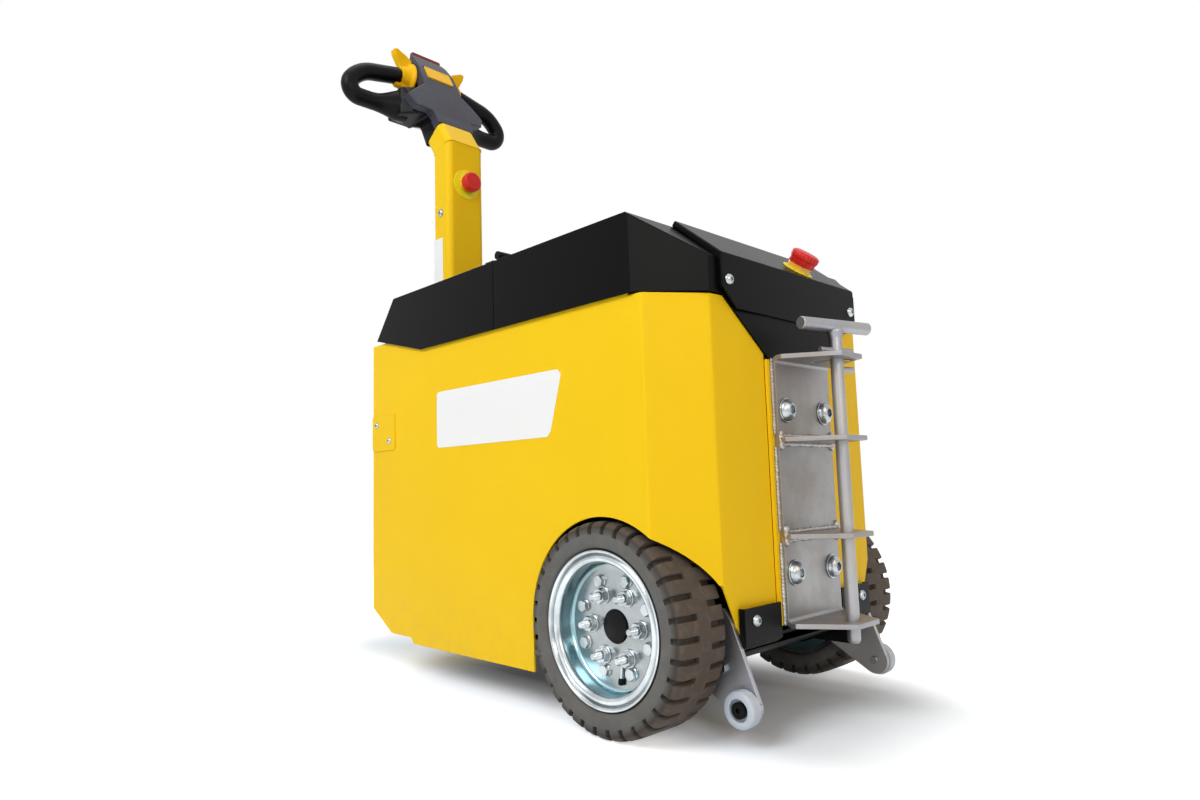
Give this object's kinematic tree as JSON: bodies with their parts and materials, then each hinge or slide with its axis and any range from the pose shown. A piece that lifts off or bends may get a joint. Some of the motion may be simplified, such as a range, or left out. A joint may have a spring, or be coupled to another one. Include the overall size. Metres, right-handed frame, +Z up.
{
  "type": "walk behind electric tug",
  "caption": "Walk behind electric tug: yellow steel body on two drive wheels and a castor, black covers, plate hitch with a tow pin, and a tiller head with loop handles.",
  "frame": {"origin": "centre of the bounding box in X and Y, on the floor under the wheels", "axes": "+X towards the hitch, +Y to the left hand side seen from the tiller, +Z up"},
  "size_m": [0.9796, 0.4908, 1.2485],
  "materials": {
    "yellow_paint": "yellow powder coat, semi gloss",
    "black_cover": "black moulded cover, fine orange peel, satin gloss",
    "black_paint": "black powder coat, satin",
    "steel_plate": "bare flame cut plate, lightly oiled",
    "zinc": "bright zinc plate",
    "tyre_rubber": "solid rubber tyre, grey black",
    "roller_nylon": "white nylon",
    "grey_shell": "fine textured grey moulding",
    "black_plastic": "textured black moulding",
    "yellow_plastic": "yellow moulding",
    "red_plastic": "red moulding",
    "amber_plastic": "amber yellow moulding",
    "dark_red_plastic": "dark red moulding",
    "label_white": "bare white plate",
    "battery_case": "dark grey battery case",
    "cast_alloy": "cast alloy housing",
    "castor_rubber": "dark grey castor tread"
  },
  "bodies": {
    "chassis": {"chassis_frame": "black_paint", "belly_tray": "black_paint", "lower_tabs": "black_paint", "body_screws": "zinc", "side_panel_left": "yellow_paint", "side_panel_right": "yellow_paint", "front_plate": "yellow_paint", "rear_panel": "yellow_paint", "front_hood": "black_cover", "hood_panel": "black_cover", "lid_hinge_fixed": "black_paint", "hitch_bracket": "steel_plate", "hitch_mid_plates": "steel_plate", "hitch_bolts": "zinc", "hitch_backing": "black_paint", "wheel_housings": "black_paint", "transaxle": "cast_alloy", "drive_motor": "black_paint", "parking_brake": "black_paint", "batteries": "battery_case", "battery_tray": "black_paint", "motor_controller": "black_plastic", "main_contactor": "black_plastic", "charge_socket": "black_plastic", "access_plates": "yellow_paint", "label_plates": "label_white", "roller_arms": "steel_plate", "roller_axles": "black_paint", "castor_plate": "zinc", "tiller_column": "yellow_paint", "column_post": "black_paint", "tiller_bracket": "black_paint", "column_bolts": "zinc", "stop_discs": "yellow_plastic", "stop_bases": "amber_plastic", "head_shell": "grey_shell", "head_base": "black_plastic", "handle_loop_left": "black_plastic", "handle_loop_right": "black_plastic"},
    "wheel_left": {"tyre_left": "tyre_rubber", "rim_left": "zinc", "wheel_hub_left": "black_paint", "wheel_fasteners_left": "zinc"},
    "wheel_right": {"tyre_right": "tyre_rubber", "rim_right": "zinc", "wheel_hub_right": "black_paint", "wheel_fasteners_right": "zinc"},
    "guide_roller_left": {"roller_left": "roller_nylon"},
    "guide_roller_right": {"roller_right": "roller_nylon"},
    "castor_swivel": {"castor_fork": "zinc"},
    "castor_roll": {"castor_wheel": "castor_rubber"},
    "lid": {"battery_lid": "black_cover", "lid_hinge_moving": "black_paint"},
    "pin": {"hitch_pin": "zinc"},
    "front_stop": {"front_stop_head": "red_plastic"},
    "tiller_stop": {"tiller_stop_head": "red_plastic"},
    "throttle_left": {"paddle_left": "yellow_plastic"},
    "throttle_right": {"paddle_right": "yellow_plastic"},
    "belly_switch": {"belly_button": "dark_red_plastic"},
    "horn": {"horn_button": "yellow_plastic"}
  },
  "joints": [
    {"name": "wheel_left_spin", "type": "hinge", "parent": "chassis", "child": "wheel_left", "pos_m": [0.2782, 0.203, 0.125], "axis": [0, 1, 0], "continuous": true},
    {"name": "wheel_right_spin", "type": "hinge", "parent": "chassis", "child": "wheel_right", "pos_m": [0.2782, -0.203, 0.125], "axis": [0, 1, 0], "continuous": true},
    {"name": "roller_left_spin", "type": "hinge", "parent": "chassis", "child": "guide_roller_left", "pos_m": [0.41619, 0.162, 0.043], "axis": [0, 1, 0], "continuous": true},
    {"name": "roller_right_spin", "type": "hinge", "parent": "chassis", "child": "guide_roller_right", "pos_m": [0.41619, -0.162, 0.043], "axis": [0, 1, 0], "continuous": true},
    {"name": "castor_turn", "type": "hinge", "parent": "chassis", "child": "castor_swivel", "pos_m": [-0.1418, 0, 0.09], "axis": [0, 0, 1], "continuous": true},
    {"name": "castor_spin", "type": "hinge", "parent": "castor_swivel", "child": "castor_roll", "pos_m": [-0.16681, 0, 0.04], "axis": [0, 1, 0], "continuous": true},
    {"name": "lid_hinge", "type": "hinge", "parent": "chassis", "child": "lid", "pos_m": [0.09219, 0, 0.617], "axis": [0, 1, 0], "range_deg": [0, 80]},
    {"name": "pin_lift", "type": "slide", "parent": "chassis", "child": "pin", "axis": [0, 0, 1], "range_m": [0, 0.36]},
    {"name": "front_stop_press", "type": "slide", "parent": "chassis", "child": "front_stop", "axis": [-0.6305, 0, -0.7762], "range_m": [0, 0.004], "stiffness_N_per_m": 2500, "springref_m": -0.004},
    {"name": "tiller_stop_press", "type": "slide", "parent": "chassis", "child": "tiller_stop", "axis": [-1, 0, 0], "range_m": [0, 0.004], "stiffness_N_per_m": 2500, "springref_m": -0.004},
    {"name": "paddle_left_turn", "type": "hinge", "parent": "chassis", "child": "throttle_left", "pos_m": [-0.46281, 0.06, 1.176], "axis": [0, 1, 0], "range_deg": [-25, 25], "stiffness_Nm_per_rad": 0.8},
    {"name": "paddle_right_turn", "type": "hinge", "parent": "chassis", "child": "throttle_right", "pos_m": [-0.46281, -0.06, 1.176], "axis": [0, 1, 0], "range_deg": [-25, 25], "stiffness_Nm_per_rad": 0.8},
    {"name": "belly_press", "type": "slide", "parent": "chassis", "child": "belly_switch", "axis": [1, 0, 0], "range_m": [0, 0.003], "stiffness_N_per_m": 3000, "springref_m": -0.002},
    {"name": "horn_press", "type": "slide", "parent": "chassis", "child": "horn", "axis": [-0.8554, 0, -0.518], "range_m": [0, 0.0015], "stiffness_N_per_m": 3000, "springref_m": -0.002}
  ],
  "couplings": [
    {"joint": "paddle_right_turn", "follows": "paddle_left_turn", "ratio": 1}
  ]
}
